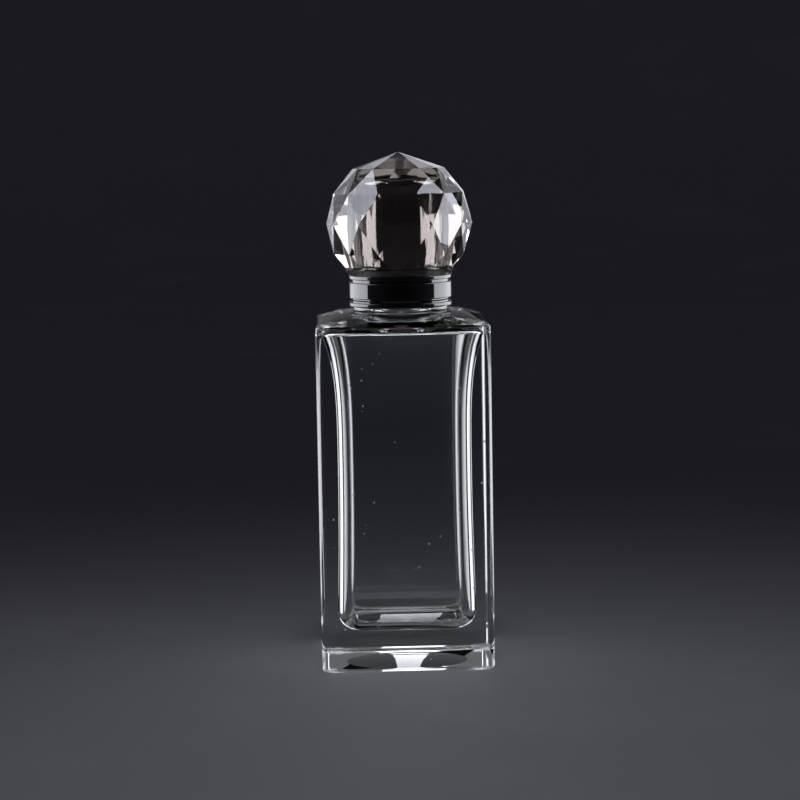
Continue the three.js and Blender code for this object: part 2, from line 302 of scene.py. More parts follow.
def thread_ridge(name, wall, crest, start_height, start_angle, turns):
    """A tapered ridge winding up the axis; it starts inside the wall that it grows from."""
    outward = 1 if crest > wall else -1
    buried = wall - outward * thread_bury
    ridge = start_piece(name)
    bpy.ops.mesh.primitive_plane_add(
        size=thread_root, location=((buried + crest) / 2, 0, 0), rotation=(math.pi / 2, 0, 0)
    )
    bpy.ops.mesh.delete(type="ONLY_FACE")
    bpy.ops.mesh.select_all(action="SELECT")
    middle = ((buried + crest) / 2, 0, 0)
    depth_scale = abs(crest - buried) / thread_root
    bpy.ops.transform.resize(value=(depth_scale, 1, 1), center_override=middle)
    select_where(lambda co: near(co.x, crest))
    crest_scale = thread_crest / thread_root
    bpy.ops.transform.resize(value=(1, 1, crest_scale), center_override=(crest, 0, 0))
    bpy.ops.mesh.bevel(
        offset=thread_round, segments=3, affect="VERTICES", clamp_overlap=False
    )
    bpy.ops.object.mode_set(mode="OBJECT")
    profile_points = len(ridge.data.vertices)
    wind = ridge.modifiers.new("wind", "SCREW")
    wind.angle = 2 * math.pi * turns
    wind.screw_offset = thread_pitch * turns
    wind.steps = wind.render_steps = round(thread_steps * turns)
    bpy.ops.object.modifier_apply(modifier=wind.name)
    steps = len(ridge.data.vertices) // profile_points - 1
    for vertex in ridge.data.vertices:
        turn = turns * (vertex.index // profile_points) / steps
        fade = min(1, (min(turn, turns - turn) + thread_blunt) / thread_fade)
        radius = vertex.co.xy.length
        beyond = outward * (radius - wall)
        if beyond > 0:
            vertex.co.xy *= (wall + outward * beyond * fade) / radius
    bpy.ops.object.mode_set(mode="EDIT")
    bpy.ops.mesh.select_all(action="SELECT")
    bpy.ops.mesh.fill_holes(sides=0)
    bpy.ops.mesh.normals_make_consistent(inside=False)
    bpy.ops.object.mode_set(mode="OBJECT")
    ridge.location.z = start_height
    ridge.rotation_euler.z = start_angle
    bpy.ops.object.transform_apply(location=True, rotation=True, scale=True)
    return ridge


def join_solid(piece, other, operation):
    """Adds one closed solid to another, or cuts it away, leaving one closed skin."""
    deselect()
    bpy.context.view_layer.objects.active = piece
    piece.select_set(True)
    cut = piece.modifiers.new("join", "BOOLEAN")
    cut.object = other
    cut.operation = operation
    cut.solver = "EXACT"
    bpy.ops.object.modifier_apply(modifier=cut.name)
    bpy.data.objects.remove(other)


thread_pitch = 2.5 * mm
thread_depth = 0.8 * mm
thread_root = 1.1 * mm
thread_crest = 0.6 * mm
thread_bury = 0.3 * mm
thread_round = 0.14 * mm
thread_fade = 1 / 12
thread_blunt = 0.02
thread_steps = 72
thread_lead_in = 0.9 * mm
neck_thread_start = neck_top - thread_lead_in - thread_pitch
neck_ridge = thread_ridge(
    "neck_ridge", neck_radius, neck_radius + thread_depth, neck_thread_start, 0, 1
)
join_solid(glass, neck_ridge, "UNION")
finish_shape(glass)


def add_node(tree, kind, values=None, **settings):
    """Adds a node; values fill or link its inputs, and settings are its own options."""
    node = tree.nodes.new(kind)
    for key, value in settings.items():
        setattr(node, key, value)
    for key, value in (values or {}).items():
        if isinstance(value, bpy.types.NodeSocket):
            tree.links.new(value, node.inputs[key])
        else:
            node.inputs[key].default_value = value
    return node


def start_group(name, inputs, outputs):
    """A shader node group with float inputs (name: value) and named float outputs."""
    group = bpy.data.node_groups.new(name, "ShaderNodeTree")
    for key, value in inputs.items():
        socket = group.interface.new_socket(key, in_out="INPUT", socket_type="NodeSocketFloat")
        socket.default_value = value
    for key in outputs:
        group.interface.new_socket(key, in_out="OUTPUT", socket_type="NodeSocketFloat")
    entry = group.nodes.new("NodeGroupInput")
    way_out = group.nodes.new("NodeGroupOutput")
    place = group.nodes.new("ShaderNodeTexCoord").outputs["Object"]
    return group, entry.outputs, way_out.inputs, place


def math_node(tree, operation, a, b=0.0):
    return add_node(tree, "ShaderNodeMath", {0: a, 1: b}, operation=operation).outputs[0]


def ramp_between(tree, value, low, high, out_low=0.0, out_high=1.0):
    """A smooth climb from out_low to out_high as the value goes from low to high."""
    values = {"Value": value, "From Min": low, "From Max": high}
    values.update({"To Min": out_low, "To Max": out_high})
    ramp = add_node(tree, "ShaderNodeMapRange", values, interpolation_type="SMOOTHSTEP")
    return ramp.outputs[0]


# Long, shallow waves of a moulded or blown surface, with a trace of fine grain.
ripple, given, made, place = start_group(
    "surface_ripple", {"Waves": 60.0, "Grain": 1800.0, "Grain share": 0.1}, ["Height"]
)
waves = add_node(
    ripple, "ShaderNodeTexNoise", {"Vector": place, "Scale": given["Waves"], "Detail": 1.5}
)
grain = add_node(
    ripple, "ShaderNodeTexNoise", {"Vector": place, "Scale": given["Grain"], "Detail": 2.0}
)
grain_part = math_node(ripple, "MULTIPLY", grain.outputs[0], given["Grain share"])
ripple.links.new(math_node(ripple, "ADD", waves.outputs[0], grain_part), made["Height"])

# Marks of handling: soft smudges in patches, and sparse hairline scratches.
marks, given, made, place = start_group(
    "handling_marks", {"Smudge size": 70.0, "Smudge cover": 0.45}, ["Smudges", "Hairlines"]
)
smudge_edge = 0.22
patch = add_node(
    marks,
    "ShaderNodeTexNoise",
    {"Vector": place, "Scale": given["Smudge size"], "Detail": 6.0, "Roughness": 0.62},
)
patch_low = math_node(marks, "SUBTRACT", 1.0, given["Smudge cover"])
patch_high = math_node(marks, "ADD", patch_low, smudge_edge)
smudges = ramp_between(marks, patch.outputs[0], patch_low, patch_high)
marks.links.new(smudges, made["Smudges"])
stretch = {"Vector": place, "Rotation": (0.5, 0.35, 0.8), "Scale": (60, 60, 5200)}
tilted = add_node(marks, "ShaderNodeMapping", stretch).outputs[0]
lines = add_node(
    marks, "ShaderNodeTexNoise", {"Vector": tilted, "Scale": 1.0, "Detail": 0.0}
)
hairlines = ramp_between(marks, lines.outputs[0], 0.79, 0.83)
marks.links.new(hairlines, made["Hairlines"])

# Settled dust: small round specks, one in every few cells, each of its own size.
specks, given, made, place = start_group(
    "dust_specks", {"Cells": 420.0, "Share": 0.12, "Radius": 0.09}, ["Specks"]
)
cells = add_node(specks, "ShaderNodeTexVoronoi", {"Vector": place, "Scale": given["Cells"]})
chance = add_node(specks, "ShaderNodeSeparateColor", {"Color": cells.outputs["Color"]})
picked = math_node(specks, "LESS_THAN", chance.outputs[0], given["Share"])
own_radius = math_node(specks, "MULTIPLY", chance.outputs[1], given["Radius"])
inside = math_node(specks, "LESS_THAN", cells.outputs["Distance"], own_radius)
specks.links.new(math_node(specks, "MULTIPLY", picked, inside), made["Specks"])


def place_group(tree, group, values):
    node = tree.nodes.new("ShaderNodeGroup")
    node.node_tree = group
    for key, value in values.items():
        node.inputs[key].default_value = value
    return node.outputs


def start_material(name, **plain):
    """A material whose even values are set on its shader; returns it, its tree and shader."""
    material = bpy.data.materials.new(name)
    material.use_nodes = True
    tree = material.node_tree
    shader = tree.nodes["Principled BSDF"]
    for key, value in plain.items():
        shader.inputs[key.replace("_", " ")].default_value = value
    return material, tree, shader


def tint_between(tree, shader, mask, low_color, high_color):
    """Runs the base colour between two close tints."""
    mix = add_node(tree, "ShaderNodeMix", data_type="RGBA")
    tree.links.new(mask, mix.inputs[0])
    mix.inputs[6].default_value = (*low_color, 1)
    mix.inputs[7].default_value = (*high_color, 1)
    tree.links.new(mix.outputs[2], shader.inputs["Base Color"])


def rough_from(tree, shader, base, parts):
    """Roughness is a base value with masks added at their own strengths."""
    total = base
    for mask, strength in parts:
        part = math_node(tree, "MULTIPLY", mask, strength)
        total = math_node(tree, "ADD", part, total)
    tree.links.new(total, shader.inputs["Roughness"])


def bump_from(tree, shader, height, distance):
    """Bumps the surface by a height field whose full range is the given distance."""
    bump = add_node(tree, "ShaderNodeBump", {"Height": height, "Distance": distance})
    tree.links.new(bump.outputs[0], shader.inputs["Normal"])


def dress(piece, material, body, slot, *nodes):
    """Gives a finished piece its material, its body and the CAD nodes that it stands for."""
    piece.data.materials.clear()
    piece.data.materials.append(material)
    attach(piece, body)
    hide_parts(*nodes)


flint, tree, shader = start_material(
    "flint_glass", IOR=1.52, Transmission_Weight=1.0, Metallic=0.0
)
ripple_out = place_group(tree, ripple, {"Waves": 45.0, "Grain": 700.0, "Grain share": 0.02})
marks_out = place_group(tree, marks, {"Smudge size": 55.0, "Smudge cover": 0.36})
specks_out = place_group(tree, specks, {"Cells": 430.0, "Share": 0.2, "Radius": 0.13})
flint_deep = (0.955, 0.975, 0.97)
flint_clear = (0.99, 1.0, 0.995)
tint_between(tree, shader, ripple_out["Height"], flint_deep, flint_clear)
# Scuffs where the shoulder's rim and the foot's edge rub in packing.
spot = tree.nodes.new("ShaderNodeTexCoord").outputs["Object"]
axes = add_node(tree, "ShaderNodeSeparateXYZ", {"Vector": spot}).outputs
far_x = math_node(tree, "ABSOLUTE", axes[0])
far_y = math_node(tree, "ABSOLUTE", axes[1])
corner_reach = math_node(tree, "MINIMUM", far_x, far_y)
corner_share = ramp_between(tree, corner_reach, 11 * mm, glass_half)
at_rim = ramp_between(tree, axes[2], shoulder_rim - 1.2 * mm, shoulder_rim + 0.6 * mm)
at_foot = ramp_between(tree, axes[2], 1.6 * mm, 0.2 * mm)
rubbed = math_node(tree, "MULTIPLY", math_node(tree, "MAXIMUM", at_rim, at_foot), corner_share)
scuff_noise = add_node(
    tree, "ShaderNodeTexNoise", {"Vector": spot, "Scale": 420.0, "Detail": 5.0}
)
scuff_patches = ramp_between(tree, scuff_noise.outputs[0], 0.32, 0.62)
scuffs = math_node(tree, "MULTIPLY", rubbed, scuff_patches)
# The stippled ring that the bottle stands on, around the clear push-up.
level = add_node(tree, "ShaderNodeCombineXYZ", {"X": axes[0], "Y": axes[1]}).outputs[0]
from_axis = add_node(tree, "ShaderNodeVectorMath", {0: level}, operation="LENGTH").outputs[1]
outside_dish = ramp_between(tree, from_axis, dish_radius - 0.1 * mm, dish_radius + 0.1 * mm)
at_table = ramp_between(tree, axes[2], 0.3 * mm, 0.1 * mm)
stipple_noise = add_node(tree, "ShaderNodeTexNoise", {"Vector": spot, "Scale": 1500.0})
ring = math_node(tree, "MULTIPLY", outside_dish, at_table)
stipple_grain = ramp_between(tree, stipple_noise.outputs[0], 0.3, 0.7, 0.35, 1.0)
stipple = math_node(tree, "MULTIPLY", ring, stipple_grain)
# The chilled skin of the blown cavity where its walls turn into its floor.
far_side = math_node(tree, "MAXIMUM", far_x, far_y)
past_floor = ramp_between(tree, far_x, heel_half - floor_round, heel_half - 1.5 * mm)
inside_walls = ramp_between(tree, far_side, heel_half + 0.6 * mm, heel_half + 0.3 * mm)
low_down = ramp_between(tree, axes[2], walls_bottom + 2 * mm, floor_height + 2.5 * mm)
above_base = ramp_between(tree, axes[2], floor_height - 0.5 * mm, floor_height - 0.2 * mm)
turn_low = math_node(tree, "MULTIPLY", past_floor, inside_walls)
turn_high = math_node(tree, "MULTIPLY", low_down, above_base)
chill = math_node(tree, "MULTIPLY", turn_low, turn_high)
rough_from(
    tree,
    shader,
    0.0,
    [
        (marks_out["Smudges"], 0.05),
        (marks_out["Hairlines"], 0.06),
        (specks_out["Specks"], 0.6),
        (scuffs, 0.8),
        (stipple, 0.07),
        (chill, 0.22),
    ],
)
flint_wave = 0.04 * mm
bump_from(tree, shader, ripple_out["Height"], flint_wave)
dress(glass, flint, "bottle", "flint_glass", "glass_bottle")

# ---------------------------------------------------------------------------------------------
# Neck ring. A gloss black injection-moulded ring, pressed down the neck onto the glass ledge;
# its rounded bead meets the cap's skirt at a groove, where the thin parting line lies.
# ---------------------------------------------------------------------------------------------


turned_steps = 96
fine_round = 0.25 * mm


def turned(name, corners):
    """Spins a closed profile about the axis; each corner is (radius, height, rounding)."""
    piece = start_piece(name)
    bpy.ops.mesh.primitive_plane_add(size=mm)
    bpy.ops.mesh.merge(type="CENTER")
    bpy.ops.transform.translate(value=(corners[0][0], 0, corners[0][1]))
    for before, after in zip(corners, corners[1:]):
        step = (after[0] - before[0], 0, after[1] - before[1])
        bpy.ops.mesh.extrude_region_move(TRANSFORM_OT_translate={"value": step})
    bpy.ops.mesh.select_all(action="SELECT")
    bpy.ops.mesh.edge_face_add()
    for radius, height, rounding in corners:
        if rounding:
            select_where(
                lambda co: near(co.x, radius, 2e-6) and near(co.z, height, 2e-6)
            )
            segments = 3 if rounding < fine_round else 6
            bpy.ops.mesh.bevel(
                offset=rounding, segments=segments, affect="VERTICES", clamp_overlap=False
            )
    bpy.ops.mesh.select_all(action="SELECT")
    bpy.ops.mesh.delete(type="ONLY_FACE")
    bpy.ops.mesh.select_mode(type="EDGE")
    shape = bmesh.from_edit_mesh(piece.data)
    for edge in shape.edges:
        edge.select = all(near(vertex.co.x, 0, 1e-7) for vertex in edge.verts)
    bmesh.update_edit_mesh(piece.data)
    bpy.ops.mesh.delete(type="EDGE")
    bpy.ops.mesh.select_mode(type="VERT")
    bpy.ops.mesh.select_all(action="SELECT")
    bpy.ops.mesh.spin(
        steps=turned_steps, angle=2 * math.pi, center=(0, 0, 0), axis=(0, 0, 1)
    )
    finish_shape(piece)
    return piece


def middle_radius(node):
    low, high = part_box(node)
    return (high.x - low.x) / 2


collar_radius = middle_radius("neck_ring")
bead_height = 0.95 * mm
bead_round = 0.3 * mm
edge_round = 0.06 * mm
groove_depth = 0.66 * mm
groove_radius = collar_radius - groove_depth
ring_clearance = 0.1 * mm
ring_bore = neck_radius + ring_clearance
neck_ring = turned(
    "neck_collar_ring",
    [
        (ring_bore, ring_low.z, edge_round),
        (collar_radius, ring_low.z, bead_round),
        (collar_radius, ring_low.z + bead_height, bead_round),
        (groove_radius, ring_low.z + bead_height, 0),
        (groove_radius, ring_high.z, edge_round),
        (ring_bore, ring_high.z, edge_round),
    ],
)


def gloss_black(name, low_color, high_color, base_rough):
    """Polished black thermoplastic: deep gloss, faint flow waves, smudges and hairlines."""
    material, tree, shader = start_material(name, IOR=1.5)
    ripple_out = place_group(tree, ripple, {"Waves": 160.0, "Grain": 2600.0})
    marks_out = place_group(tree, marks, {"Smudge size": 140.0, "Smudge cover": 0.42})
    specks_out = place_group(tree, specks, {"Cells": 900.0, "Share": 0.08, "Radius": 0.16})
    tint_between(tree, shader, marks_out["Smudges"], low_color, high_color)
    handled = [(marks_out["Smudges"], 0.08), (marks_out["Hairlines"], 0.1)]
    rough_from(tree, shader, base_rough, handled + [(specks_out["Specks"], 0.4)])
    bump_from(tree, shader, ripple_out["Height"], gloss_wave)
    return material


gloss_wave = 0.012 * mm
jet_black = (0.006, 0.006, 0.007)
worn_black = (0.014, 0.014, 0.016)
collar_black = gloss_black("gloss_black_collar", jet_black, worn_black, 0.05)
dress(neck_ring, collar_black, "bottle", "collar_black", "neck_ring")

# ---------------------------------------------------------------------------------------------
# Pour plug. A natural polyethylene orifice reducer pressed into the neck's bore: a flange over
# the lip, a thin skirt that tapers in at its foot, and a small round pouring hole.
# ---------------------------------------------------------------------------------------------
plug_low, plug_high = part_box("pour_plug")
plug_flange = middle_radius("pour_plug")
plug_clearance = 0.1 * mm
plug_radius = bore_radius - plug_clearance
plug_wall = 0.8 * mm
plug_hollow = plug_radius - plug_wall
plug_seat = neck_top + plug_clearance
plug_taper = 0.2 * mm
taper_height = 1.2 * mm
orifice_radius = 1.6 * mm
funnel_width = 0.9 * mm
funnel_depth = 0.35 * mm
web_thickness = 1 * mm
web_bottom = plug_high.z - web_thickness
plug_edge = 0.1 * mm
pour_plug = turned(
    "pour_insert",
    [
        (plug_hollow + 0.25 * mm, plug_low.z, plug_edge),
        (plug_radius - plug_taper, plug_low.z, plug_edge),
        (plug_radius, plug_low.z + taper_height, plug_edge),
        (plug_radius, plug_seat, 0),
        (plug_flange, plug_seat, plug_edge),
        (plug_flange, plug_high.z, 0.3 * mm),
        (orifice_radius + funnel_width, plug_high.z, 0.2 * mm),
        (orifice_radius, plug_high.z - funnel_depth, plug_edge),
        (orifice_radius, web_bottom, plug_edge),
        (plug_hollow, web_bottom, 0.3 * mm),
    ],
)
natural, tree, shader = start_material(
    "natural_polyethylene", IOR=1.51, Subsurface_Weight=0.35, Subsurface_Scale=1.5 * mm
)
ripple_out = place_group(tree, ripple, {"Waves": 220.0, "Grain": 5200.0, "Grain share": 0.5})
marks_out = place_group(tree, marks, {"Smudge size": 220.0, "Smudge cover": 0.5})
milky_deep = (0.80, 0.79, 0.75)
milky_pale = (0.87, 0.865, 0.84)
satin_wave = 0.02 * mm
tint_between(tree, shader, marks_out["Smudges"], milky_deep, milky_pale)
rough_from(tree, shader, 0.4, [(marks_out["Smudges"], 0.12), (marks_out["Hairlines"], 0.1)])
bump_from(tree, shader, ripple_out["Height"], satin_wave)
dress(pour_plug, natural, "bottle", "plug_natural", "pour_plug")

# ---------------------------------------------------------------------------------------------
# Cap liner. A disc of white foamed polyethylene between two thin skins, held in the roof of the
# inner cap, that the pour plug's flange presses into when the cap is tight.
# ---------------------------------------------------------------------------------------------
liner_low, liner_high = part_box("cap_liner")
liner_radius = middle_radius("cap_liner")
liner_skin = 0.09 * mm
skin_round = 0.04 * mm
liner_bulge = 0.05 * mm
skin_radius = liner_radius - liner_bulge
cap_liner = turned(
    "foam_liner",
    [
        (0, liner_low.z, 0),
        (skin_radius, liner_low.z, skin_round),
        (skin_radius, liner_low.z + liner_skin, 0),
        (liner_radius, liner_low.z + 2 * liner_skin, liner_bulge),
        (liner_radius, liner_high.z - 2 * liner_skin, liner_bulge),
        (skin_radius, liner_high.z - liner_skin, 0),
        (skin_radius, liner_high.z, skin_round),
        (0, liner_high.z, 0),
    ],
)
foam, tree, shader = start_material("liner_foam", IOR=1.45)
coordinates = tree.nodes.new("ShaderNodeTexCoord").outputs["Object"]
foam_cells = add_node(
    tree, "ShaderNodeTexVoronoi", {"Vector": coordinates, "Scale": 5200.0}, feature="F1"
)
marks_out = place_group(tree, marks, {"Smudge size": 260.0, "Smudge cover": 0.5})
# The cell hollows are painted darker than the cell walls, following the same cell field as the
# bump: painted shade in the recesses, not a colour of the foam.
foam_hollow_painted_shade = (0.86, 0.855, 0.83)
foam_wall = (0.93, 0.925, 0.91)
cell_depth = 0.05 * mm
tint_between(tree, shader, foam_cells.outputs["Distance"], foam_hollow_painted_shade, foam_wall)
rough_from(tree, shader, 0.7, [(marks_out["Smudges"], 0.15)])
bump_from(tree, shader, foam_cells.outputs["Distance"], cell_depth)
dress(cap_liner, foam, "liner", "liner_foam", "cap_liner")

# ---------------------------------------------------------------------------------------------
# Threaded inner cap. Satin black polypropylene, moulded with a little over one turn of thread
# that winds onto the glass; it carries the skirt ring outside, and the core and ball on its roof.
# ---------------------------------------------------------------------------------------------
inner_low, inner_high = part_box("inner_cap")
inner_radius = middle_radius("inner_cap")
inner_wall = 0.8 * mm
inner_bore = inner_radius - inner_wall
roof_wall = 1.1 * mm
inner_roof = inner_high.z - roof_wall
inner_cap = turned(
    "threaded_inner_cap",
    [
        (0, inner_high.z, 0),
        (inner_radius, inner_high.z, 0.3 * mm),
        (inner_radius, inner_low.z, 0.12 * mm),
        (inner_bore, inner_low.z, 0.2 * mm),
        (inner_bore, inner_roof, 0.15 * mm),
        (0, inner_roof, 0),
    ],
)
cap_thread_start = inner_low.z + thread_lead_in
cap_thread_turns = 1.2
cap_thread_turn = (cap_thread_start - neck_thread_start) / thread_pitch + 0.5
cap_ridge = thread_ridge(
    "cap_ridge",
    inner_bore,
    inner_bore - thread_depth,
    cap_thread_start,
    2 * math.pi * cap_thread_turn,
    cap_thread_turns,
)
join_solid(inner_cap, cap_ridge, "UNION")
finish_shape(inner_cap)
satin, tree, shader = start_material("satin_black_polypropylene", IOR=1.49)
ripple_out = place_group(tree, ripple, {"Waves": 300.0, "Grain": 7000.0, "Grain share": 0.7})
marks_out = place_group(tree, marks, {"Smudge size": 160.0, "Smudge cover": 0.48})
satin_deep = (0.012, 0.012, 0.013)
satin_pale = (0.022, 0.022, 0.024)
tint_between(tree, shader, marks_out["Smudges"], satin_deep, satin_pale)
rough_from(tree, shader, 0.34, [(marks_out["Smudges"], 0.14), (marks_out["Hairlines"], 0.15)])
bump_from(tree, shader, ripple_out["Height"], satin_wave)
dress(inner_cap, satin, "cap", "inner_cap_black", "inner_cap")

# ---------------------------------------------------------------------------------------------
# Skirt ring. A gloss black injection-moulded ring around the inner cap: a broad band between
# two grooves, with a rounded bead above that the ball's foot stands over.
# ---------------------------------------------------------------------------------------------
skirt_low, skirt_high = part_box("skirt_ring")
skirt_bore = inner_radius + ring_clearance
lower_groove = 0.31 * mm
band_height = 3.6 * mm
band_low = skirt_low.z + lower_groove
band_high = band_low + band_height
top_bead_low = skirt_high.z - bead_height
skirt_ring = turned(
    "skirt_band",
    [
        (skirt_bore, skirt_low.z, edge_round),
        (groove_radius, skirt_low.z, edge_round),
        (groove_radius, band_low, 0),
        (collar_radius, band_low, bead_round),
        (collar_radius, band_high, bead_round),
        (groove_radius, band_high, 0),
        (groove_radius, top_bead_low, 0),
        (collar_radius, top_bead_low, bead_round),
        (collar_radius, skirt_high.z, bead_round),
        (skirt_bore, skirt_high.z, edge_round),
    ],
)
dress(skirt_ring, collar_black, "cap", "collar_black", "skirt_ring")

# ---------------------------------------------------------------------------------------------
# Core cup. A gloss black moulded cup with a rounded rim on a wide flange, glued to the inner
# cap's roof; it is the dark middle that shows, bent and doubled, through the ball.
# ---------------------------------------------------------------------------------------------
core_low, core_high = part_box("core_cup")
core_flange = middle_radius("core_cup")
core_radius = 7.65 * mm
core_wall = 1 * mm
core_rim = 1.5 * mm
flange_round = 0.15 * mm
flange_thickness = 0.9 * mm
flange_top = core_low.z + flange_thickness
core_inside = core_radius - core_wall
core_cup = turned(
    "core_cup_black",
    [
        (core_inside, core_low.z, 0.1 * mm),
        (core_flange, core_low.z, flange_round),
        (core_flange, flange_top, flange_round),
        (core_radius, flange_top, 0),
        (core_radius, core_high.z, core_rim),
        (0, core_high.z, 0),
        (0, core_high.z - core_wall, 0),
        (core_inside, core_high.z - core_wall, core_rim - core_wall),
    ],
)
warm_black = (0.009, 0.007, 0.006)
warm_worn = (0.02, 0.016, 0.013)
lacquer_ior = 1.9
core_black = gloss_black("gloss_black_core", warm_black, warm_worn, 0.07)
core_black.node_tree.nodes["Principled BSDF"].inputs["IOR"].default_value = lacquer_ior
dress(core_cup, core_black, "cap", "core_black", "core_cup")

# ---------------------------------------------------------------------------------------------
# Faceted ball. Clear acrylic, moulded in one piece with triangular facets in twelves around it,
# polished, and pressed over the core; each ring of corners is turned by half a facet.
# ---------------------------------------------------------------------------------------------
ball_low, ball_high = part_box("ball_cap")
girdle_radius = 16.25 * mm
foot_overhang = 0.2 * mm
foot_radius = collar_radius + foot_overhang
girdle_height = ball_low.z + math.sqrt(girdle_radius**2 - foot_radius**2)
seated_angle = math.radians(-4.5)
facet_sides = 12
half_facet = math.pi / facet_sides
facet_edge = 0.05 * mm
crown_drop = 0.4 * mm
latitudes = [
    (girdle_radius, -23.8),
    (girdle_radius, 0),
    (girdle_radius, 24.6),
    (girdle_radius - crown_drop, 50.2),
]

ball = start_piece("faceted_ball")
bpy.ops.mesh.primitive_circle_add(
    vertices=facet_sides,
    radius=foot_radius,
    fill_type="NGON",
    location=(0, 0, ball_low.z),
    rotation=(0, 0, seated_angle),
)
bpy.ops.mesh.select_mode(type="VERT")
ring_radius, ring_height = foot_radius, ball_low.z
for sphere_radius, latitude in latitudes:
    new_radius = sphere_radius * math.cos(math.radians(latitude))
    new_height = girdle_height + sphere_radius * math.sin(math.radians(latitude))
    climb = {"value": (0, 0, new_height - ring_height)}
    if ring_height == ball_low.z:
        select_where(lambda co: near(co.z, ball_low.z))
        bpy.ops.mesh.extrude_edges_move(TRANSFORM_OT_translate=climb)
    else:
        bpy.ops.mesh.extrude_region_move(TRANSFORM_OT_translate=climb)
    pivot = (0, 0, new_height)
    scale = new_radius / ring_radius
    bpy.ops.transform.resize(value=(scale, scale, 1), center_override=pivot)
    bpy.ops.transform.rotate(value=half_facet, orient_axis="Z", center_override=pivot)
    ring_radius, ring_height = new_radius, new_height
bpy.ops.mesh.extrude_region_move(TRANSFORM_OT_translate={"value": (0, 0, 0)})
bpy.ops.mesh.merge(type="CENTER")
bpy.ops.transform.translate(value=(0, 0, ball_high.z - ring_height))
select_where(lambda co: True)
bpy.ops.mesh.remove_doubles(threshold=weld_distance)
bpy.ops.mesh.select_mode(type="FACE")
shape = bmesh.from_edit_mesh(ball.data)
for face in shape.faces:
    face.select = len(face.verts) == 4
bmesh.update_edit_mesh(ball.data)
bpy.ops.mesh.quads_convert_to_tris(quad_method="SHORTEST_DIAGONAL")
bpy.ops.mesh.select_all(action="SELECT")
bpy.ops.mesh.normals_make_consistent(inside=False)
bpy.ops.mesh.bevel(offset=facet_edge, segments=2, affect="EDGES", clamp_overlap=True)
bpy.ops.object.mode_set(mode="OBJECT")

socket_gap = 0.1 * mm
counterbore = inner_radius + socket_gap
counterbore_top = flange_top + socket_gap
socket_radius = core_radius + socket_gap
socket_top = core_high.z + socket_gap
cutter_start = ball_low.z - 1 * mm
socket = turned(
    "ball_socket",
    [
        (0, cutter_start, 0),
        (counterbore, cutter_start, 0),
        (counterbore, counterbore_top, flange_round),
        (socket_radius, counterbore_top, 0.1 * mm),
        (socket_radius, socket_top, core_rim + socket_gap),
        (0, socket_top, 0),
    ],
)
join_solid(ball, socket, "DIFFERENCE")
ball_sharp_angle = 40
finish_shape(ball, ball_sharp_angle)
acrylic, tree, shader = start_material(
    "clear_acrylic", IOR=1.49, Transmission_Weight=1.0, Metallic=0.0
)
ripple_out = place_group(tree, ripple, {"Waves": 90.0, "Grain": 900.0, "Grain share": 0.02})
marks_out = place_group(tree, marks, {"Smudge size": 90.0, "Smudge cover": 0.34})
specks_out = place_group(tree, specks, {"Cells": 520.0, "Share": 0.06, "Radius": 0.1})
acrylic_warm = (0.94, 0.82, 0.71)
acrylic_pale = (0.98, 0.89, 0.80)
acrylic_wave = 0.015 * mm
tint_between(tree, shader, ripple_out["Height"], acrylic_warm, acrylic_pale)
handled = [(marks_out["Smudges"], 0.04), (marks_out["Hairlines"], 0.05)]
rough_from(tree, shader, 0.0, handled + [(specks_out["Specks"], 0.4)])
bump_from(tree, shader, ripple_out["Height"], acrylic_wave)
dress(ball, acrylic, "cap", "clear_acrylic", "ball_cap")

# ---------------------------------------------------------------------------------------------
# Table. A pale, smooth, faintly mottled board that the bottle stands on, bent up far behind it
# into a backdrop. It lies a hair below the foot, so that the two faces don't meet.
# ---------------------------------------------------------------------------------------------
deselect()
table_gap = 0.03 * mm
board_size = 5
backdrop_height = 3
backdrop_bend = 1.2
bpy.ops.mesh.primitive_plane_add(size=board_size, location=(0, 0, -table_gap))
floor = bpy.context.object
floor.name = "pale_floor"
bpy.ops.object.mode_set(mode="EDIT")
select_where(lambda co: co.y > 0)
bpy.ops.mesh.extrude_region_move(TRANSFORM_OT_translate={"value": (0, 0, backdrop_height)})
bpy.ops.mesh.select_mode(type="EDGE")
shape = bmesh.from_edit_mesh(floor.data)
for edge in shape.edges:
    edge.select = all(near(v.co.z, 0) and v.co.y > 0 for v in edge.verts)
bmesh.update_edit_mesh(floor.data)
bpy.ops.mesh.bevel(offset=backdrop_bend, segments=24, affect="EDGES")
bpy.ops.object.mode_set(mode="OBJECT")
bpy.ops.object.shade_smooth()
pale, tree, shader = start_material("pale_board", IOR=1.45)
marks_out = place_group(tree, marks, {"Smudge size": 9.0, "Smudge cover": 0.5})
board_deep = (0.50, 0.505, 0.515)
board_pale = (0.56, 0.565, 0.575)
tint_between(tree, shader, marks_out["Smudges"], board_deep, board_pale)
rough_from(tree, shader, 0.62, [(marks_out["Smudges"], 0.1)])
floor.data.materials.append(pale)

# ---------------------------------------------------------------------------------------------
# Light. Plain soft panels beside, behind and above the bottle, in a dim room. Each lights only
# the glass, the collar, the ball or the table, so the pale board stays quiet and the clear
# glass shows by its bright edges.
# ---------------------------------------------------------------------------------------------
soft_white = (0.93, 0.94, 1.0)
cool_white = (0.87, 0.89, 1.0)


def lit_group(name, *pieces):
    """The only pieces that a linked light falls on."""
    group = bpy.data.collections.new(name)
    for piece in pieces:
        group.objects.link(piece)
    return group


def light_panel(name, lit, size, place, aim, radiance, color=soft_white, spread=180):
    """A soft panel of a given brightness, seen only in the pieces that it lights."""
    light = bpy.data.lights.new(name, "AREA")
    light.shape = "RECTANGLE"
    light.size, light.size_y = size
    light.energy = radiance * math.pi * size[0] * size[1]
    light.color = color
    light.spread = math.radians(spread)
    panel = bpy.data.objects.new(name, light)
    bpy.context.scene.collection.objects.link(panel)
    facing = (Vector(aim) - Vector(place)).to_track_quat("-Z", "Y").to_matrix().to_4x4()
    panel.matrix_world = Matrix.Translation(place) @ facing
    panel.visible_camera = False
    panel.light_linking.receiver_collection = lit


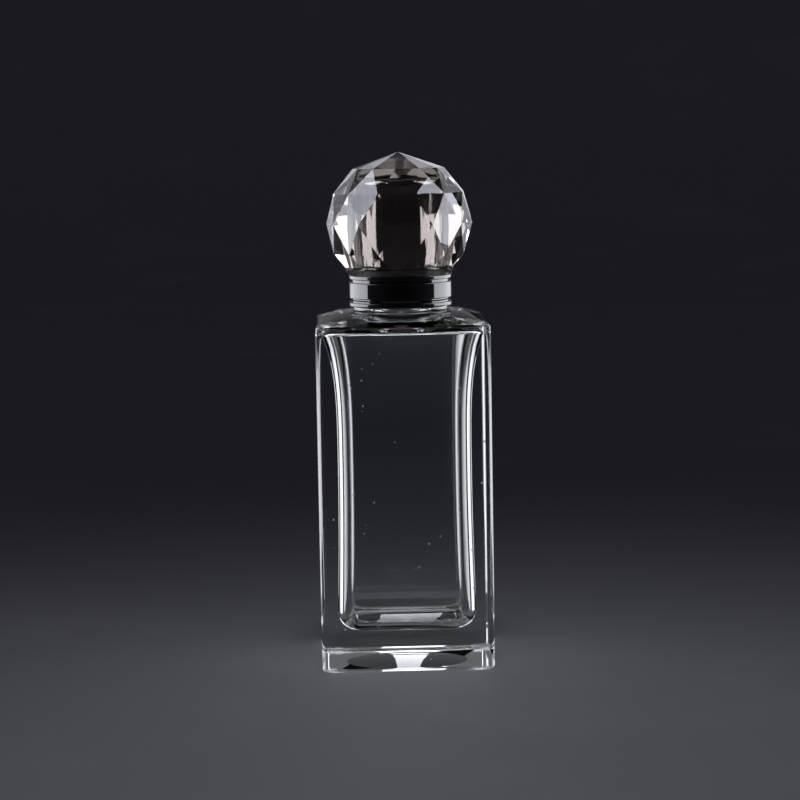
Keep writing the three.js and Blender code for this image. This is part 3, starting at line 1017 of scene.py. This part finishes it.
glass_pieces = (glass, pour_plug, inner_cap, cap_liner)
collar_pieces = (neck_ring, skirt_ring)
ball_pieces = (ball, core_cup)
glass_only = lit_group("lit_glass", *glass_pieces)
collar_only = lit_group("lit_collar", *collar_pieces)
ball_only = lit_group("lit_ball", *ball_pieces)
table_only = lit_group("lit_table", floor)
off_table = lit_group("lit_bottle", *glass_pieces, *collar_pieces, *ball_pieces)

for side, name in ((-1, "_left"), (1, "_right")):
    light_panel(
        "glass_side" + name,
        glass_only,
        size=(0.3, 0.28),
        place=(side * 0.06, 0.14, 0.14),
        aim=(0, 0.14, 0.14),
        radiance=0.95,
        spread=150,
    )
    light_panel(
        "collar_side" + name,
        collar_only,
        size=(0.6, 0.3),
        place=(side * 0.12, 0.27, 0.15),
        aim=(0, 0.27, 0.15),
        radiance=3.6,
        spread=132,
    )
    light_panel(
        "ball_side" + name,
        ball_only,
        size=(0.34, 0.8),
        place=(side * 0.4, 0.02, 0.34),
        aim=(0, 0.02, 0.34),
        radiance=7.0,
        color=cool_white,
    )
    light_panel(
        "ball_back" + name,
        ball_only,
        size=(0.4, 0.5),
        place=(side * 0.23, 0.42, 0.2),
        aim=(0, 0, 0.2),
        radiance=0.95,
        color=cool_white,
    )
light_panel(
    "strip_behind",
    glass_only,
    size=(0.042, 1.28),
    place=(0.032, 1.1, 0.76),
    aim=(0.032, 0, 0.76),
    radiance=2.3,
)
light_panel(
    "glass_ceiling",
    glass_only,
    size=(3.0, 0.9),
    place=(0, 0.8, 1.1),
    aim=(0, 0, 0.1),
    radiance=1.2,
)
light_panel(
    "glow_behind",
    off_table,
    size=(1.2, 0.78),
    place=(0, 1.3, 0.5),
    aim=(0, 0, 0.1),
    radiance=0.12,
)
light_panel(
    "ball_ceiling",
    ball_only,
    size=(3.0, 0.45),
    place=(0, 0.9, 1.0),
    aim=(0, 0, 0.1),
    radiance=0.15,
)
light_panel(
    "front_fill",
    glass_only,
    size=(2.2, 0.9),
    place=(0, -1.1, 0.7),
    aim=(0, 0, 0.08),
    radiance=0.35,
)
light_panel(
    "table_pool",
    table_only,
    size=(0.3, 0.3),
    place=(0, -0.3, 0.9),
    aim=(0, -0.12, 0),
    radiance=0.18,
    color=cool_white,
    spread=30,
)

room_glow = (0.022, 0.022, 0.029, 1)
world = bpy.data.worlds.new("dim_room")
world.use_nodes = True
world.node_tree.nodes["Background"].inputs["Color"].default_value = room_glow
bpy.context.scene.world = world
bpy.context.scene.view_settings.view_transform = "Standard"

# ---------------------------------------------------------------------------------------------
# Camera. A long lens in front of the bottle and a little above its shoulder, pitched down by a
# few degrees and rolled slightly.
# ---------------------------------------------------------------------------------------------
camera_turn = math.radians(1.45)
camera_distance = 0.557
camera_height = 0.1205
camera_drop = math.radians(6.41)
camera_roll = math.radians(0.98)
camera_aim = math.radians(0.05)
lens = bpy.data.cameras.new("studio_lens")
lens.lens = 112.5
lens.sensor_width = 36
lens.clip_start = 0.01
camera = bpy.data.objects.new("studio_camera", lens)
bpy.context.scene.collection.objects.link(camera)
eye = (
    -camera_distance * math.sin(camera_turn),
    -camera_distance * math.cos(camera_turn),
    camera_height,
)
camera.matrix_world = (
    Matrix.Translation(eye)
    @ Matrix.Rotation(camera_aim - camera_turn, 4, "Z")
    @ Matrix.Rotation(math.pi / 2 - camera_drop, 4, "X")
    @ Matrix.Rotation(-camera_roll, 4, "Z")
)
bpy.context.scene.camera = camera
